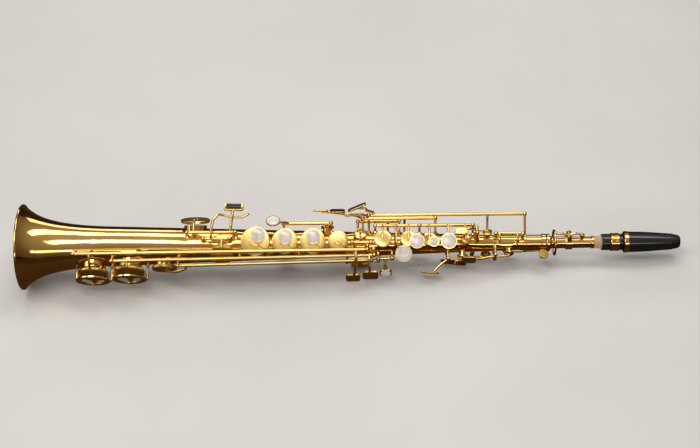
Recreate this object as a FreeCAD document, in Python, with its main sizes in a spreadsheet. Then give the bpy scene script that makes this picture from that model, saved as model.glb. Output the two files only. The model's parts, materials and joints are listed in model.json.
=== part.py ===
import FreeCAD, Part
import Sketcher
import math
import os
from FreeCAD import Vector, Placement, Rotation

# Soprano saxophone, assembled for playing. Millimetres.
# X runs along the bore axis from the bell mouth to the mouthpiece, Z is up,
# the origin is the centre of the bell mouth. Angles about the bore ("theta")
# are in degrees, measured from +Z towards -Y.
# A "station" is (x, distance from the bore axis, theta).

os.makedirs("parts", exist_ok=True)
doc = FreeCAD.newDocument("soprano_saxophone")
sheet = doc.addObject("Spreadsheet::Sheet", "Dims")

# alias, value, note
DIMENSIONS = [
    ("conestart", 92.0, "where the straight cone meets the bell flare"),
    ("coneradius", 21.85, "outer radius there"),
    ("slope", 0.03146, "radius lost per mm towards the neck"),
    ("bodyend", 550.0, "end of the body tube inside the receiver"),
    ("wall", 0.8, "body wall"),
    ("landradius", 44.4, "cylindrical land inside the bell mouth"),
    ("landlength", 2.0, "its length"),
    ("rimradius", 46.6, "rolled rim"),
    ("chimney", 3.0, "tone hole rim above the tube"),
    ("chimneywall", 0.8, "tone hole wall"),
    ("padlap", 3.5, "cup radius beyond the rim of a large tone hole"),
    ("rodradius", 1.0, "steel hinge rod"),
    ("rodclear", 0.05, "hinge tube bore beyond the rod"),
    ("tuberadius", 1.8, "hinge tube"),
    ("ballradius", 2.4, "post head"),
    ("stemradius", 1.25, "post stem"),
    ("footradius", 2.6, "post foot"),
    ("padthick", 3.1, "pad"),
    ("padgap", 0.05, "closed pad above the rim"),
    ("receiverstart", 539.0, "receiver sleeve"),
    ("receiverend", 568.0, "receiver mouth"),
    ("receiverradius", 8.6, "receiver outer radius"),
    ("tenonradius", 6.5, "neck tenon"),
    ("tenonclear", 0.05, "receiver bore beyond the tenon"),
    ("tenonstart", 552.5, "inner end of the tenon"),
    ("corkstart", 620.0, "neck cork"),
    ("corkend", 650.0, "neck tip"),
    ("corkradius", 6.9, "neck cork outer radius"),
    ("shankstart", 628.0, "mouthpiece shank end"),
    ("shankbore", 6.95, "mouthpiece shank bore radius"),
    ("shankradius", 8.9, "mouthpiece shank radius"),
    ("tip", 696.0, "mouthpiece tip"),
    ("capstart", 652.0, "open end of the mouthpiece cap"),
    ("capend", 713.0, "closed end of the mouthpiece cap"),
    ("capradius", 11.2, "cap outer radius at its mouth"),
    ("capwall", 0.9, "cap wall"),
]
VALUES = {}
for row, (alias, value, note) in enumerate(DIMENSIONS, start=1):
    sheet.set("A%d" % row, note)
    sheet.set("B%d" % row, str(value))
    sheet.setAlias("B%d" % row, alias)
    VALUES[alias] = value
doc.recompute()

PIPE = Vector(1, 0, 0)          # along the bore
UP = Vector(0, 0, 1)
ACROSS = Vector(0, 1, 0)

# name: (x, theta, cup radius)
HOLES = {
    "low_bb": (78.0, 122, 16.5), "low_b": (117.0, 122, 16.5), "low_csharp": (154.5, 124, 13.5),
    "low_c": (188.0, -40, 15.7), "eb": (218.0, 72, 12.2),
    "d": (254.0, 35, 15.8), "e": (285.5, 35, 13.9), "f": (315.5, 35, 13.9),
    "fsharp": (342.5, 35, 11.1), "gsharp": (366.5, 8, 7.2), "trill": (331.0, -46, 7.0),
    "g": (390.7, 35, 9.7), "a": (418.4, 35, 9.2), "bis": (440.8, 35, 7.7), "b": (461.0, 35, 6.7),
    "c": (480.0, 35, 5.7),
    "side_bb": (397.0, -108, 7.0), "side_c": (415.0, -108, 6.6), "high_e": (505.0, -62, 5.2),
    "palm_d": (477.0, 126, 5.8), "palm_eb": (503.0, 164, 5.4), "palm_f": (527.0, 112, 5.4),
    "front_f": (504.0, -6, 4.4),
}
LARGE_CUP = 9                   # cups above this radius are deeper and lap further


# ------------------------------------------------------------------ places and frames
def dim(alias):
    return VALUES[alias]


def number(item):
    """A plain number, or the value of a sum of sheet dimensions with spaced signs."""
    if not isinstance(item, str):
        return float(item)
    total, sign = 0.0, 1.0
    for word in item.split():
        if word in ("+", "-"):
            sign = 1.0 if word == "+" else -1.0
        elif word.startswith("Dims."):
            total += sign * VALUES[word[len("Dims."):]]
        else:
            total += sign * float(word)
    return total


def body_radius(x):
    """Outer radius of the body cone at x."""
    return dim("coneradius") - dim("slope") * (x - dim("conestart"))


def outward(theta):
    """Unit vector away from the bore axis."""
    angle = math.radians(theta)
    return Vector(0, -math.sin(angle), math.cos(angle))


def around(theta):
    """Unit vector of increasing theta."""
    angle = math.radians(theta)
    return Vector(0, -math.cos(angle), -math.sin(angle))


def polar(x, radius, theta):
    return Vector(x, 0, 0) + outward(theta) * radius


def above(x, theta, rise):
    """Point at a height above the body cone."""
    return polar(x, body_radius(x) + rise, theta)


def route(*stations):
    return [polar(*station) for station in stations]


def frame_to(origin, normal, along=PIPE):
    """Placement whose Z is the normal and whose X lies along the tube."""
    z = Vector(normal).normalize()
    y = z.cross(along).normalize()
    x = y.cross(z)
    return Placement(FreeCAD.Matrix(x.x, y.x, z.x, origin.x, x.y, y.y, z.y, origin.y,
                                    x.z, y.z, z.z, origin.z, 0, 0, 0, 1))


def hole_frame(hole):
    """Frame on a tone hole: origin on the rim plane, Z outwards, Y towards lower theta."""
    x, theta, _ = HOLES[hole]
    return frame_to(above(x, theta, dim("chimney")), outward(theta))


def local(frame, along, across, up):
    """Point in a tone hole frame; across runs towards higher theta."""
    return frame.multVec(Vector(along, -across, up))


def route_in(frame, *offsets):
    return [local(frame, *offset) for offset in offsets]


def rim_radius(cup_radius):
    """Outer radius of the chimney under a cup."""
    return cup_radius - (dim("padlap") if cup_radius > LARGE_CUP else 2.0)


# ------------------------------------------------------------------ document objects
PARTS = {}


def new_body(name):
    body = doc.addObject("PartDesign::Body", name)
    body.Label = name
    PARTS[name] = body
    return body


def feature(name, shape):
    """A piece whose shape is assembled from solids."""
    obj = doc.addObject("Part::Feature", name)
    obj.Label = name
    obj.Shape = shape
    obj.Placement = Placement(shape.Placement)
    PARTS[name] = obj


def sketch(body, name, start, path, plane="XY_Plane"):
    """Closed profile. Each step of the path is a point (a line to it), or
    ("arc", middle, end), or ("spline", point, ...); a line closes it.
    Coordinates are numbers or sheet expressions. Arcs and splines are blocked,
    the other line starts are dimensioned."""
    sk = body.newObject("Sketcher::SketchObject", name)
    support = next(item for item in body.Origin.OriginFeatures if item.Role == plane)
    sk.AttachmentSupport = [(support, "")]
    sk.MapMode = "FlatFace"
    starts = []
    kinds = []
    here = start
    for step in list(path) + [start]:
        kind = step[0] if step[0] in ("arc", "spline") else "line"
        targets = [step] if kind == "line" else list(step[1:])
        points = [Vector(number(p[0]), number(p[1]), 0) for p in [here] + targets]
        if kind == "line":
            curve = Part.LineSegment(*points)
        elif kind == "arc":
            curve = Part.Arc(*points)
        else:
            curve = Part.BSplineCurve()
            curve.interpolate(points)
        sk.addGeometry(curve)
        starts.append(here)
        kinds.append(kind)
        here = targets[-1]

    count = len(kinds)
    fixed = set()               # curves whose start is held by a blocked one
    for i, kind in enumerate(kinds):
        if kind != "line":
            fixed.update((i, (i + 1) % count))
            sk.addConstraint(Sketcher.Constraint("Block", i))
    ends = []
    for i, kind in enumerate(kinds):
        ends.append((1, 2))
        if kind == "arc":
            # the sketcher may store an arc the other way round
            stored = sk.Geometry[i].StartPoint
            wanted = (number(starts[i][0]), number(starts[i][1]))
            if math.hypot(stored.x - wanted[0], stored.y - wanted[1]) > 1e-4:
                ends[i] = (2, 1)
    for i in range(count):
        j = (i + 1) % count
        sk.addConstraint(Sketcher.Constraint("Coincident", i, ends[i][1], j, ends[j][0]))
    for i in range(count):
        if i in fixed:
            continue
        for axis, item in enumerate(starts[i]):
            value = number(item)
            if abs(value) < 1e-9:
                line = -2 if axis == 0 else -1
                sk.addConstraint(Sketcher.Constraint("PointOnObject", i, 1, line))
                continue
            kind = "DistanceX" if axis == 0 else "DistanceY"
            index = sk.addConstraint(Sketcher.Constraint(kind, -1, 1, i, 1, value))
            if isinstance(item, str):
                label = "d%d_%d" % (i, axis)
                sk.renameConstraint(index, label)
                sk.setExpression("Constraints." + label, item)
    return sk


def revolve(body, sk, axis="H_Axis", name="Revolution", cut=False):
    rev = body.newObject("PartDesign::Groove" if cut else "PartDesign::Revolution", name)
    rev.Profile = sk
    rev.ReferenceAxis = (sk, [axis])
    rev.Angle = 360.0
    sk.Visibility = False


def cylinder_in(body, name, add, radius, height, placement):
    kind = "Additive" if add else "Subtractive"
    cylinder = body.newObject("PartDesign::%sCylinder" % kind, name)
    cylinder.Height = height
    cylinder.Radius = radius
    cylinder.Placement = placement


def box_in(body, name, add, size, placement):
    kind = "Additive" if add else "Subtractive"
    box = body.newObject("PartDesign::%sBox" % kind, name)
    box.Length, box.Width, box.Height = size
    box.Placement = placement


def along_bore(x, direction=PIPE):
    """Placement on the bore axis whose Z is the direction."""
    return Placement(Vector(x, 0, 0), Rotation(UP, direction))


# ------------------------------------------------------------------ body tube
BORE_END = 560                  # the groove overshoots the end of the tube

tube = new_body("body_tube")
outer = sketch(tube, "OuterProfile", ("Dims.bodyend", 0), [
    ("Dims.bodyend", body_radius(dim("bodyend"))),
    ("Dims.conestart", "Dims.coneradius"),
    ("spline", (75, 22.75), (60, 24.1), (40, 27.2), (25, 31.3), (12, 37.5), (5.5, 42.4),
     (2.6, 45.1)),
    ("arc", (1.6, "Dims.rimradius"), (0.0, 45.0)),
    (0, 0)])
revolve(tube, outer, name="OuterRevolution")
doc.recompute()
for hole, (x, theta, cup_radius) in sorted(HOLES.items()):
    cylinder_in(tube, "Chimney_" + hole, True, rim_radius(cup_radius),
                body_radius(x) + dim("chimney"), frame_to(polar(x, 0, theta), outward(theta)))
bore = sketch(tube, "BoreProfile", (BORE_END, 0), [
    (BORE_END, body_radius(BORE_END) - dim("wall")),
    ("Dims.conestart", "Dims.coneradius - Dims.wall"),
    ("spline", (75, 21.9), (60, 23.2), (40, 26.2), (25, 30.2), (12, 36.3), (5.5, 41.2),
     ("Dims.landlength", "Dims.landradius")),
    (0, "Dims.landradius"),
    (0, 0)])
revolve(tube, bore, name="Bore", cut=True)
for hole, (x, theta, cup_radius) in sorted(HOLES.items()):
    cylinder_in(tube, "Hole_" + hole, False, rim_radius(cup_radius) - dim("chimneywall"),
                body_radius(x) + dim("chimney") + 2,
                frame_to(polar(x, 0, theta), outward(theta)))

# ------------------------------------------------------------------ receiver
SHOULDER_X = dim("bodyend") + 0.05
SLEEVE_CLEAR = 0.08             # sleeve bore beyond the body tube

receiver = new_body("neck_receiver")
start = ("Dims.receiverstart", body_radius(dim("receiverstart")) + SLEEVE_CLEAR)
revolve(receiver, sketch(receiver, "ReceiverProfile", start, [
    (SHOULDER_X, body_radius(dim("bodyend")) + SLEEVE_CLEAR),
    (SHOULDER_X, "Dims.tenonradius + Dims.tenonclear"),
    ("Dims.receiverend", "Dims.tenonradius + Dims.tenonclear"),
    ("Dims.receiverend", 9.1), (567.0, 9.6), (563.4, 9.6),
    (562.6, "Dims.receiverradius"), (546.4, "Dims.receiverradius"),
    (545.8, 9.2), (543.6, 9.2), (543.0, 8.4), ("Dims.receiverstart", 8.2)]))

# the slit, with a clamp ear on each side of it
EAR_THETA = 125
SLIT_WIDTH = 1.2
EAR_THICK = 2.0
ear_out = outward(EAR_THETA)
box_in(receiver, "Slit", False, (14.0, SLIT_WIDTH, 8.0),
       frame_to(polar(554.5, 5.0, EAR_THETA), ear_out)
       * Placement(Vector(0, -SLIT_WIDTH / 2, 0), Rotation()))
for name, side in (("EarA", SLIT_WIDTH / 2), ("EarB", -SLIT_WIDTH / 2 - EAR_THICK)):
    box_in(receiver, name, True, (6.4, EAR_THICK, 9.4),
           frame_to(polar(561.2, 7.6, EAR_THETA), ear_out)
           * Placement(Vector(0, side, 0), Rotation()))
screw_centre = polar(564.4, 14.2, EAR_THETA)
screw_dir = frame_to(screw_centre, ear_out).Rotation.multVec(ACROSS)
cylinder_in(receiver, "ScrewHole", False, 1.33, 12.0,
            Placement(screw_centre - screw_dir * 6.0, Rotation(UP, screw_dir)))

screw = new_body("clamp_screw")
revolve(screw, sketch(screw, "ScrewProfile", (0, 0), [
    (0, 1.3), (7.2, 1.3), (7.2, 2.2), (8.4, 2.2), (8.8, 4.6),
    (9.2, 5.0), (10.4, 5.0), (10.8, 4.6), (10.9, 0)]))
screw.Placement = Placement(screw_centre - screw_dir * 3.4, Rotation(PIPE, screw_dir))

# ------------------------------------------------------------------ neck and cork
TAPER_START, TAPER_START_RADIUS = 574, 6.6
TAPER_END, TAPER_END_RADIUS = 616.5, 6.0
VENT_X = 606.5

neck = new_body("neck_tube")
revolve(neck, sketch(neck, "NeckProfile", ("Dims.tenonstart", "Dims.tenonradius"), [
    (568.1, "Dims.tenonradius"), (568.1, 9.0), (568.7, 9.5), (571.3, 9.5),
    (571.9, 9.0), (572.6, 7.0), (TAPER_START, TAPER_START_RADIUS),
    (TAPER_END, TAPER_END_RADIUS), (617.0, 6.8), (619.2, 6.8), (619.7, 5.95),
    ("Dims.corkend", 5.5), ("Dims.corkend", 4.7),
    (TAPER_START, 5.8), ("Dims.tenonstart", 5.9)]))
vent_frame = frame_to(polar(VENT_X, 0, 0), outward(0))
cylinder_in(neck, "VentPip", True, 2.1, 9.0, vent_frame)
cylinder_in(neck, "NeckBore", False, 4.6, 30.0, along_bore(590))
cylinder_in(neck, "VentHole", False, 0.9, 12.0, vent_frame)

cork = new_body("neck_cork")
revolve(cork, sketch(cork, "CorkProfile", ("Dims.corkstart", 5.98), [
    ("Dims.corkend", 5.54), ("Dims.corkend", 6.5), (649.2, 6.8),
    (648.4, "Dims.corkradius"), (622.0, "Dims.corkradius"), ("Dims.corkstart", 6.7)]))

# ------------------------------------------------------------------ mouthpiece
mouth = new_body("mouthpiece")
revolve(mouth, sketch(mouth, "MouthpieceProfile", ("Dims.shankstart", "Dims.shankbore"), [
    ("Dims.shankstart", 8.4), (628.6, "Dims.shankradius"), (637.5, "Dims.shankradius"),
    (637.5, 8.7), (647.0, 8.7), (647.0, 8.9), (650.0, 8.9), (651.5, 8.6),
    ("spline", (664, 8.55), (680, 8.1), (692, 7.5)),
    ("Dims.tip", 7.1), ("Dims.tip", 0), (655, 0), (655, "Dims.shankbore")]))

# sloping beak above, flat table below, and the window through the table into the bore
BEAK_X, BEAK_TOP, BEAK_TIP = 661.0, 8.4, -5.6
TABLE_Z = -6.6
beak_angle = math.degrees(math.atan2(BEAK_TOP - BEAK_TIP, dim("tip") - BEAK_X))
box_in(mouth, "Beak", False, (60.0, 40.0, 20.0),
       Placement(Vector(BEAK_X, -20, BEAK_TOP), Rotation(ACROSS, beak_angle)))
box_in(mouth, "Table", False, (47.0, 40.0, 8.0),
       Placement(Vector(650.5, -20, TABLE_Z - 8.0), Rotation()))
box_in(mouth, "Window", False, (28.0, 8.0, 8.0),
       Placement(Vector(662.0, -4.0, -9.0), Rotation()))
cylinder_in(mouth, "Throat", False, 4.0, 20.0, along_bore(652, Vector(1, 0, -0.08)))

ring = new_body("mouthpiece_ring")
revolve(ring, sketch(ring, "RingProfile", (637.6, 8.76), [
    (637.6, 9.3), (638.2, 9.8), (640.4, 9.8), (640.8, 9.5), (643.6, 9.5),
    (644.0, 9.8), (646.3, 9.8), (646.9, 9.3), (646.9, 8.76)]))

# the reed: a plank on the table, its back round, scraped thin towards the tip
REED_X, REED_LENGTH, REED_WIDTH, REED_DEPTH = 654.5, 41.0, 10.4, 5.0
reed_round = Part.makeCylinder(8.6, REED_LENGTH, Vector(REED_X, 0, 0), PIPE)
reed_box = Part.makeBox(REED_LENGTH, REED_WIDTH, REED_DEPTH,
                        Vector(REED_X, -REED_WIDTH / 2, TABLE_Z - 0.03 - REED_DEPTH))
reed_cut = Part.makeBox(60.0, 30.0, 10.0)
reed_cut.Placement = Placement(Vector(672.0, -15, -8.6 - 10.0), Rotation(ACROSS, -4.2))
feature("reed", reed_box.common(reed_round).cut(reed_cut))

# ------------------------------------------------------------------ ligature
BAND_BORE = 8.72
BAND_X, BAND_LENGTH = 657.0, 15.0
BAND_SCREW_XS = (661.0, 668.0)
BAND_SCREW_Z = -9.42


def hoop(x, radius, length):
    return Part.makeCylinder(radius, length, Vector(x, 0, 0), PIPE).cut(
        Part.makeCylinder(BAND_BORE, length + 2.0, Vector(x - 1, 0, 0), PIPE))


band = hoop(BAND_X, 9.25, BAND_LENGTH).fuse([hoop(x, 9.45, 1.2) for x in (BAND_X, 670.8)])
gap = Part.makeBox(16.0, 2.4, 8.0, Vector(656.5, -1.2, -12))
lugs = [Part.makeBox(3.0, 0.9, 1.8, Vector(x - 1.5, y, -9.9))
        for x in BAND_SCREW_XS for y in (-2.1, 1.2)]
band = band.cut(gap).fuse(lugs).cut(
    Part.makeCylinder(BAND_BORE, BAND_LENGTH + 2.0, Vector(BAND_X - 1, 0, 0), PIPE))
band_screws = []
for x in BAND_SCREW_XS:
    band = band.cut(Part.makeCylinder(0.36, 8.0, Vector(x, -4, BAND_SCREW_Z), ACROSS))
    shaft = Part.makeCylinder(0.32, 4.4, Vector(x, -2.1, BAND_SCREW_Z), ACROSS)
    head = Part.makeCylinder(0.41, 0.7, Vector(x, 2.28, BAND_SCREW_Z), ACROSS)
    band_screws.append(shaft.fuse(head))
feature("ligature", band)
feature("ligature_screws", Part.makeCompound(band_screws))

# ------------------------------------------------------------------ mouthpiece cap
cap = new_body("mouthpiece_cap")
revolve(cap, sketch(cap, "CapProfile", ("Dims.capstart", "Dims.capradius - Dims.capwall"), [
    ("Dims.capstart", 10.7), (657.0, 10.7), (657.0, "Dims.capradius"),
    (657.6, "Dims.capradius"),
    ("spline", (680, 10.4), (698, 9.0)),
    (698.4, 9.3), (700.2, 9.15), (700.6, 8.75), (702.4, 8.6), (702.8, 8.85), (704.4, 8.7),
    (704.8, 8.3), (709.0, 7.6), ("Dims.capend - 1.6", 6.9),
    ("Dims.capend", 5.4), ("Dims.capend", 0), (705.0, 0), (704.0, 6.6),
    ("spline", (697, 8.5), (690, 9.1), (675, 10.1), (660, "Dims.capradius - Dims.capwall"))]))
cylinder_in(cap, "AirHole", False, 1.2, 20.0, along_bore(700))

cap_ring = new_body("cap_ring")
revolve(cap_ring, sketch(cap_ring, "CapRingProfile", (651.9, 10.76), [
    (651.9, 11.2), (652.4, 11.6), (656.4, 11.6), (656.9, 11.2), (656.9, 10.76)]))
doc.recompute()


# ------------------------------------------------------------------ solids used by the keys
def lathe(points, place):
    """Solid turned about the Z of its placement from (radius, z) points."""
    outline = [Vector(radius, 0, z) for radius, z in points]
    face = Part.Face(Part.makePolygon(outline + [outline[0]]))
    solid = face.revolve(Vector(0, 0, 0), UP, 360)
    if solid.Volume < 0:
        solid.reverse()
    solid.Placement = place
    return solid


def bar(points, radius, end_radius=None, poles_along=False):
    """Solids of a round bar through the points, with rounded joints, tapering to the
    end radius. With poles_along, the poles of each joint lie along the bar."""
    end_radius = radius if end_radius is None else end_radius

    def joint(joint_radius, centre, direction):
        pole = (direction,) if poles_along else ()
        return Part.makeSphere(joint_radius * 1.03, centre, *pole)

    count = len(points) - 1
    solids = []
    for i in range(count):
        near = radius + (end_radius - radius) * i / count
        far = radius + (end_radius - radius) * (i + 1) / count
        step = points[i + 1] - points[i]
        if abs(near - far) < 1e-6:
            solids.append(Part.makeCylinder(near, step.Length, points[i], step))
        else:
            solids.append(Part.makeCone(near, far, step.Length, points[i], step))
        solids.append(joint(far, points[i + 1], step))
    solids.append(joint(radius, points[0], points[1] - points[0]))
    return solids


def plate(centre, normal, length, width, corner, thick=1.7, along=PIPE):
    """Rounded rectangular touch plate; its top face looks along the normal."""
    box = Part.makeBox(length, width, thick, Vector(-length / 2, -width / 2, -thick / 2))
    uprights = [e for e in box.Edges if abs(e.BoundBox.ZLength - thick) < 1e-6]
    box = box.makeFillet(corner, uprights)
    tops = [e for e in box.Edges if abs(e.BoundBox.ZMin - thick / 2) < 1e-6
            and abs(e.BoundBox.ZMax - thick / 2) < 1e-6]
    box = box.makeFillet(0.5, tops)
    box.Placement = frame_to(centre, normal, along)
    return box


def cup_top(cup_radius):
    return 4.7 if cup_radius > LARGE_CUP else 3.6


def cup(hole, padded=False):
    """Key cup over a tone hole; without a pad its underside is filled."""
    radius = HOLES[hole][2]
    top = cup_top(radius)
    step = top - 0.35
    if padded:
        inside, floor = radius - 0.7, 0.08 + dim("padthick")
    else:
        inside, floor = radius - 0.35, dim("padgap")
    return lathe([(0, top), (radius * 0.34, top - 0.04), (radius * 0.38, step),
                  (radius * 0.74, step - 0.25), (radius - 0.9, step - 0.55),
                  (radius - 0.25, step - 0.85), (radius, top - 1.5), (radius, 0.9),
                  (inside, 0.9), (inside, floor), (0, floor)], hole_frame(hole))


def cavity(place, radius, low, high):
    return lathe([(0, low), (radius, low), (radius, high), (0, high)], place)


def pad_pocket(hole):
    return cavity(hole_frame(hole), HOLES[hole][2] - 0.7, -0.4, 0.08 + dim("padthick"))


def pearl_seat(place, radius):
    """Metal seat for a round pearl, top side up."""
    return lathe([(0, 0), (radius + 0.45, 0), (radius + 0.7, 0.4), (radius + 0.7, 2.0),
                  (radius + 0.1, 2.0), (radius + 0.1, 1.0), (0, 1.0)], place)


def pearl_pocket(place, radius):
    return cavity(place, radius + 0.1, 1.0, 4.0)


# (x, radius) of a surface just outside the body, for trimming feet
SURFACE_POINTS = [
    (0, 0), (0, 46.7), (3.2, 46.7), (6, 42.6), (12, 37.9), (25, 31.7), (40, 27.5), (60, 24.4),
    (75, 23.0), (92, dim("coneradius") + 0.06), (550, body_radius(550) + 0.06), (550, 0), (0, 0)]
SURFACE = Part.Face(Part.makePolygon([Vector(x, y, 0) for x, y in SURFACE_POINTS])).revolve(
    Vector(0, 0, 0), PIPE, 360)
SLEEVE_X = dim("receiverstart") - 0.1
SLEEVE = Part.makeCylinder(9.26, 24.0, Vector(SLEEVE_X, 0, 0), PIPE)

# ------------------------------------------------------------------ posts, rods and keys
POSTS = []
RODS = []


def rod_hole(point, direction, reach=15):
    return Part.makeCylinder(dim("rodradius") + 0.02, 2 * reach,
                             point - direction * reach, direction)


def post(head, rod_dir):
    """A ball headed post from the body to its head."""
    x = head.x
    normal = Vector(0, head.y, head.z)
    reach = normal.Length
    normal.normalize()
    base = Vector(x, 0, 0) + normal * (body_radius(x) - 1.5)
    stem, foot = dim("stemradius"), dim("footradius")
    solid = Part.makeCylinder(stem, reach - body_radius(x) + 1.5, base, normal)
    solid = solid.fuse([Part.makeCylinder(foot, 2.5, base, normal),
                        Part.makeCone(foot, stem, 1.2, base + normal * 2.5, normal),
                        Part.makeSphere(dim("ballradius"), head)])
    solid = solid.cut(SLEEVE if x > SLEEVE_X else SURFACE)
    solid = solid.cut(rod_hole(head, rod_dir))
    if not solid.isValid() or len(solid.Solids) != 1:
        raise SystemExit("bad post at x = %.1f" % x)
    POSTS.append(solid)


def steel(low, high, over=1.7):
    """A hinge rod standing out beyond both posts."""
    direction = (high - low).normalize()
    RODS.append(Part.makeCylinder(dim("rodradius"), (high - low).Length + 2 * over,
                                  low - direction * over, direction))


def at_x(rod, x):
    low, high = rod
    return low + (high - low) * ((x - low.x) / (high.x - low.x))


def mount(rod, *middle_xs):
    """Posts and steel for a rod; returns the ends of a hinge tube between the posts."""
    low, high = rod
    direction = (high - low).normalize()
    for head in [low] + [at_x(rod, x) for x in middle_xs] + [high]:
        post(head, direction)
    steel(low, high)
    return low + direction * 2.5, high - direction * 2.5


def key(name, span, solids, hollows=(), open_hole=None, open_angle=0.0):
    """Fuse a key to its hinge tube and bore it for the rod. A key that stands open
    is turned off its hole. Returns the placement of what moves with it."""
    low, high = span
    length = (high - low).Length
    direction = (high - low).normalize()
    body = Part.makeCylinder(dim("tuberadius"), length, low, high - low).fuse(solids)
    body = body.cut(Part.makeCylinder(dim("rodradius") + dim("rodclear"), length + 1.0,
                                      low - direction * 0.5, high - low))
    for hollow in hollows:
        body = body.cut(hollow)
    move = Placement()
    if open_hole:
        lift = direction.cross(local(hole_frame(open_hole), 0, 0, 0) - low)
        sense = 1.0 if lift.dot(outward(HOLES[open_hole][1])) > 0 else -1.0
        move = (Placement(low, Rotation(direction, sense * open_angle))
                * Placement(low * -1.0, Rotation()))
    body.Placement = move
    feature(name, body)
    return move


def pad(hole, move):
    radius = HOLES[hole][2]
    back = "Dims.padgap + Dims.padthick - 0.02"
    body = new_body(hole + "_pad")
    sk = sketch(body, "PadProfile", (0, "Dims.padgap"), [
        (radius - 1.4, "Dims.padgap"), (radius - 0.75, 0.5), (radius - 0.75, back), (0, back)],
        plane="XZ_Plane")
    revolve(body, sk, axis="V_Axis")
    body.Placement = move * hole_frame(hole)


def padded_key(hole, span, solids, open_angle, hollows=()):
    """An open standing key with its pad."""
    move = key(hole + "_key", span, solids, [pad_pocket(hole)] + list(hollows), hole,
               open_angle)
    pad(hole, move)
    return move


def pearl(hole, move, place, radius):
    body = new_body(hole + "_pearl")
    sk = sketch(body, "PearlProfile", (0, 1.04), [
        (radius, 1.04), (radius, 2.1), ("arc", (radius * 0.66, 2.72), (radius * 0.2, 3.0)),
        (0, 3.0)], plane="XZ_Plane")
    revolve(body, sk, axis="V_Axis")
    body.Placement = move * place


# ------------------------------------------------------------------ lower stack
LOWER_OPEN = 8.0
LOWER_PEARL = 7.4
# hole: (hinge tube from x, to x, arm offset along, arm offset across, pearl offset or None)
LOWER = {
    "d": (239.2, 269.6, 12.6, 11.6, (3.0, -6.4)),
    "e": (269.8, 297.6, 11.0, 10.4, (0.5, -4.4)),
    "f": (303.0, 328.4, 11.0, 10.4, (0.5, -4.4)),
    "fsharp": (328.6, 356.8, 9.2, 8.2, None)}
rod = (above(236.5, 90, 3.9), above(359.5, 90, 3.9))
mount(rod, 300.3)
for hole, (from_x, to_x, along, across, pearl_offset) in LOWER.items():
    x, theta, _ = HOLES[hole]
    frame = hole_frame(hole)
    hinge = at_x(rod, x + along)
    hinge_z = frame.inverse().multVec(hinge).z
    arm = [hinge] + route_in(
        frame, (along, across + 1.6, hinge_z * 0.62), (along, across, -1.0),
        (along - 0.6, across - 0.8, 2.4), (along - 2.4, across - 3.6, 4.2), (0, 0, 4.4))
    span = (at_x(rod, from_x), at_x(rod, to_x))
    solids = [cup(hole, pearl_offset is not None)] + bar(arm, 1.35, 1.05)
    if pearl_offset is None:
        key(hole + "_key", span, solids, (), hole, LOWER_OPEN)
        continue
    place = frame_to(local(frame, *pearl_offset, 4.3), outward(theta))
    solids.append(pearl_seat(place, LOWER_PEARL))
    move = padded_key(hole, span, solids, LOWER_OPEN, [pearl_pocket(place, LOWER_PEARL)])
    pearl(hole, move, place, LOWER_PEARL)

# ------------------------------------------------------------------ upper stack
rod = (polar(382.6, 20.6, -25), polar(488.4, 20.6, -25))
mount(rod, 430.6)
# hole: hinge tube from x, to x
UPPER = {"g": (385.2, 407.6), "a": (407.8, 428.0), "bis": (433.2, 448.4),
         "b": (448.6, 470.4), "c": (470.6, 485.8)}
# hole: (start of the touch bar, its stations, radius, end radius,
#        seat station, theta the seat faces, seat radius)
UPPER_TOUCHES = {
    "g": (at_x(rod, 404.9), [(404.9, 23.2, -8), (404.9, 23.4, 20), (405.2, 23.4, 48),
                             (407.5, 23.0, 66), (412.6, 22.4, 79)], 1.35, 1.15,
          (412.6, 22.4, 80), 62, 8.3),
    "a": (local(hole_frame("a"), 0, 0, 4.2), [(423, 20.2, 42), (427, 20.6, 46)], 1.2, 1.2,
          (427, 20.5, 46), 44, 7.4),
    "bis": (local(hole_frame("bis"), 0, 0, 3.2), [(445, 18.6, 46)], 1.1, 1.1,
            (445.2, 18.4, 47), 44, 4.9),
    "b": (local(hole_frame("b"), 0, 0, 3.2), [(461, 18.6, 46)], 1.3, 1.3,
          (461.4, 18.4, 46), 44, 7.8)}
for hole, (from_x, to_x) in UPPER.items():
    x, theta, cup_radius = HOLES[hole]
    frame = hole_frame(hole)
    hinge = at_x(rod, x)
    hinge_z = frame.inverse().multVec(hinge).z
    step_z = cup_top(cup_radius) - 0.3
    arm = [hinge] + route_in(
        frame, (0, -14.4, hinge_z + 5.6), (0, -cup_radius - 1.2, 3.9),
        (0, -cup_radius * 0.5, step_z + 0.3), (0, 0, step_z - 0.1))
    solids = [cup(hole)] + bar(arm, 1.4, 1.05)
    hollows = []
    if hole in UPPER_TOUCHES:
        (bar_start, stations, radius, end_radius,
         seat_station, seat_theta, seat_radius) = UPPER_TOUCHES[hole]
        place = frame_to(polar(*seat_station), outward(seat_theta))
        solids += bar([bar_start] + route(*stations), radius, end_radius)
        solids.append(pearl_seat(place, seat_radius))
        hollows.append(pearl_pocket(place, seat_radius))
    move = key(hole + "_key", (at_x(rod, from_x), at_x(rod, to_x)), solids, hollows, hole, 7.0)
    if hole == "g":
        pearl(hole, move, place, seat_radius)

# ------------------------------------------------------------------ bell keys and long rods
BELL_OPEN = 7.0

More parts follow.
